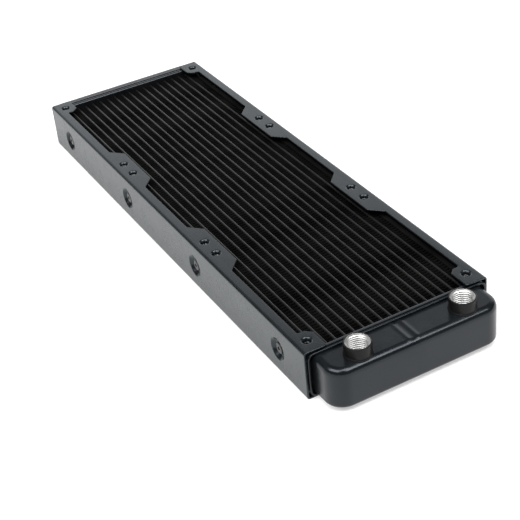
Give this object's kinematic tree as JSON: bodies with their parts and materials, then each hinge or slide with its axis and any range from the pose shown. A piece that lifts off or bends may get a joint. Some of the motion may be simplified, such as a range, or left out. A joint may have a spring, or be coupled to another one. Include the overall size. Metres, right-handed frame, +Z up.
{
  "type": "liquid cooling radiator",
  "caption": "Flat black finned-tube radiator for computer water cooling, with end tanks, two threaded hose ports and a folded steel frame with fan screw tabs.",
  "frame": {"origin": "middle of the radiator's footprint, on the lower fan face", "axes": "+X along the length towards the tank with the two hose ports, +Z up from the lower fan face to the upper one, where the ports open; +Y completes the right-handed frame"},
  "size_m": [0.3952, 0.12, 0.0361],
  "materials": {
    "frame_paint": "satin black powder coat on folded steel sheet",
    "tank_paint": "satin black paint on pressed aluminium",
    "core_paint": "thin black paint on aluminium tube",
    "fin_paint": "thin dull black paint on folded aluminium foil",
    "port_metal": "machined thread left bare, outside painted black",
    "rivet": "black blind rivet"
  },
  "bodies": {
    "root": {"side_channel_left": "frame_paint", "core_side_left": "core_paint", "rivet_left_1": "rivet", "rivet_left_2": "rivet", "rivet_left_3": "rivet", "rivet_left_4": "rivet", "side_channel_right": "frame_paint", "core_side_right": "core_paint", "rivet_right_1": "rivet", "rivet_right_2": "rivet", "rivet_right_3": "rivet", "rivet_right_4": "rivet", "tube_1": "core_paint", "tube_2": "core_paint", "tube_3": "core_paint", "tube_4": "core_paint", "tube_5": "core_paint", "tube_6": "core_paint", "tube_7": "core_paint", "tube_8": "core_paint", "tube_9": "core_paint", "tube_10": "core_paint", "tube_11": "core_paint", "tube_12": "core_paint", "tube_13": "core_paint", "tube_14": "core_paint", "tube_15": "core_paint", "tube_16": "core_paint", "tube_17": "core_paint", "fin_strip_1": "fin_paint", "fin_strip_2": "fin_paint", "fin_strip_3": "fin_paint", "fin_strip_4": "fin_paint", "fin_strip_5": "fin_paint", "fin_strip_6": "fin_paint", "fin_strip_7": "fin_paint", "fin_strip_8": "fin_paint", "fin_strip_9": "fin_paint", "fin_strip_10": "fin_paint", "fin_strip_11": "fin_paint", "fin_strip_12": "fin_paint", "fin_strip_13": "fin_paint", "fin_strip_14": "fin_paint", "fin_strip_15": "fin_paint", "fin_strip_16": "fin_paint", "fin_strip_17": "fin_paint", "fin_strip_18": "fin_paint", "port_header": "tank_paint", "return_header": "tank_paint", "port_tank": "tank_paint", "tank_divider": "tank_paint", "return_tank": "tank_paint", "port_boss_inlet": "port_metal", "port_boss_outlet": "port_metal"}
  },
  "joints": []
}
